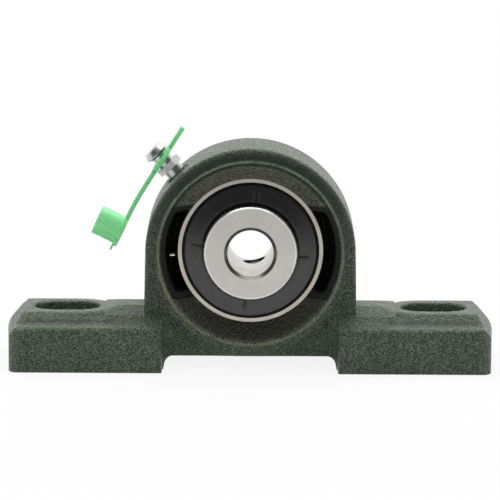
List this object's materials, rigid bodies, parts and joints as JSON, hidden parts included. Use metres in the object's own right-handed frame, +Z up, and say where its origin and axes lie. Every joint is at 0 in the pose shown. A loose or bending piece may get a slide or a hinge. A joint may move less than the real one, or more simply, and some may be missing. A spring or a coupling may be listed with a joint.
{
  "type": "pillow block bearing",
  "caption": "Cast pillow block with a self-aligning ball bearing insert, slotted feet, grease nipple and strapped plastic nipple cap.",
  "frame": {"origin": "middle of the base's underside, straight below the bearing's centre", "axes": "+X along the base, +Y along the shaft towards the long end of the inner ring, +Z up"},
  "size_m": [0.127, 0.038, 0.0619],
  "materials": {
    "cast_green": "dark green enamel over sand-cast iron, satin, rougher inside the mouth",
    "ground_steel": "ground bearing steel, satin with a fine turned grain",
    "polished_steel": "polished balls",
    "cage_steel": "pressed steel strip",
    "seal_rubber": "black nitrile rubber",
    "slinger_black": "pressed steel with a black satin coating",
    "screw_black": "black oxide on alloy steel",
    "zinc_plate": "bright zinc plate on turned steel",
    "green_plastic": "soft translucent green polyethylene"
  },
  "bodies": {
    "housing": {"housing": "cast_green", "grease_nipple": "zinc_plate", "nipple_spring": "zinc_plate"},
    "ring_pin": {"anti_rotation_pin": "polished_steel"},
    "outer": {"outer_ring": "ground_steel", "seal_front": "seal_rubber", "seal_back": "seal_rubber"},
    "inner": {"inner_ring": "ground_steel", "slinger_front": "slinger_black", "slinger_back": "slinger_black"},
    "cage": {"cage_front": "cage_steel", "cage_back": "cage_steel", "cage_rivets": "cage_steel"},
    "ball_1": {"ball_1": "polished_steel"},
    "ball_2": {"ball_2": "polished_steel"},
    "ball_3": {"ball_3": "polished_steel"},
    "ball_4": {"ball_4": "polished_steel"},
    "ball_5": {"ball_5": "polished_steel"},
    "ball_6": {"ball_6": "polished_steel"},
    "ball_7": {"ball_7": "polished_steel"},
    "ball_8": {"ball_8": "polished_steel"},
    "set_screw_1": {"set_screw_1": "screw_black"},
    "set_screw_2": {"set_screw_2": "screw_black"},
    "valve_ball": {"nipple_ball": "polished_steel"},
    "cap": {"grease_cap": "green_plastic"}
  },
  "joints": [
    {"name": "align_swivel", "type": "hinge", "parent": "housing", "child": "ring_pin", "pos_m": [0, 0, 0.0302], "axis": [-0.1045, 0, 0.9945], "range_deg": [-2.5, 2.5]},
    {"name": "align_tilt", "type": "hinge", "parent": "ring_pin", "child": "outer", "pos_m": [0, 0, 0.0302], "axis": [-0.9945, 0, -0.1045], "range_deg": [-2.5, 2.5]},
    {"name": "inner_spin", "type": "hinge", "parent": "outer", "child": "inner", "pos_m": [0, 0, 0.0302], "axis": [0, 1, 0], "continuous": true},
    {"name": "cage_spin", "type": "hinge", "parent": "outer", "child": "cage", "pos_m": [0, 0, 0.0302], "axis": [0, 1, 0], "continuous": true},
    {"name": "ball_1_spin", "type": "hinge", "parent": "cage", "child": "ball_1", "pos_m": [0, 0, 0.04445], "axis": [0, 1, 0], "continuous": true},
    {"name": "ball_2_spin", "type": "hinge", "parent": "cage", "child": "ball_2", "pos_m": [-0.01008, 0, 0.04028], "axis": [0, 1, 0], "continuous": true},
    {"name": "ball_3_spin", "type": "hinge", "parent": "cage", "child": "ball_3", "pos_m": [-0.01425, 0, 0.0302], "axis": [0, 1, 0], "continuous": true},
    {"name": "ball_4_spin", "type": "hinge", "parent": "cage", "child": "ball_4", "pos_m": [-0.01008, 0, 0.02012], "axis": [0, 1, 0], "continuous": true},
    {"name": "ball_5_spin", "type": "hinge", "parent": "cage", "child": "ball_5", "pos_m": [0, 0, 0.01595], "axis": [0, 1, 0], "continuous": true},
    {"name": "ball_6_spin", "type": "hinge", "parent": "cage", "child": "ball_6", "pos_m": [0.01008, 0, 0.02012], "axis": [0, 1, 0], "continuous": true},
    {"name": "ball_7_spin", "type": "hinge", "parent": "cage", "child": "ball_7", "pos_m": [0.01425, 0, 0.0302], "axis": [0, 1, 0], "continuous": true},
    {"name": "ball_8_spin", "type": "hinge", "parent": "cage", "child": "ball_8", "pos_m": [0.01008, 0, 0.04028], "axis": [0, 1, 0], "continuous": true},
    {"name": "set_screw_1_travel", "type": "slide", "parent": "inner", "child": "set_screw_1", "axis": [0.1908, 0, -0.9816], "range_m": [-0.00035, 0.0015]},
    {"name": "set_screw_2_travel", "type": "slide", "parent": "inner", "child": "set_screw_2", "axis": [0.7547, 0, 0.6561], "range_m": [-0.00035, 0.0015]},
    {"name": "valve_ball_push", "type": "slide", "parent": "housing", "child": "valve_ball", "axis": [0.7071, 0, -0.7071], "range_m": [0, 0.0006], "stiffness_N_per_m": 300, "springref_m": -0.001, "deforming": ["nipple_spring"]},
    {"name": "cap_swing", "type": "hinge", "parent": "housing", "child": "cap", "pos_m": [-0.02192, 0, 0.05212], "axis": [-0.7071, 0, 0.7071], "continuous": true}
  ],
  "couplings": [
    {"joint": "cage_spin", "follows": "inner_spin", "ratio": 0.38163},
    {"joint": "ball_1_spin", "follows": "inner_spin", "ratio": -1.9937},
    {"joint": "ball_2_spin", "follows": "inner_spin", "ratio": -1.9937},
    {"joint": "ball_3_spin", "follows": "inner_spin", "ratio": -1.9937},
    {"joint": "ball_4_spin", "follows": "inner_spin", "ratio": -1.9937},
    {"joint": "ball_5_spin", "follows": "inner_spin", "ratio": -1.9937},
    {"joint": "ball_6_spin", "follows": "inner_spin", "ratio": -1.9937},
    {"joint": "ball_7_spin", "follows": "inner_spin", "ratio": -1.9937},
    {"joint": "ball_8_spin", "follows": "inner_spin", "ratio": -1.9937}
  ]
}
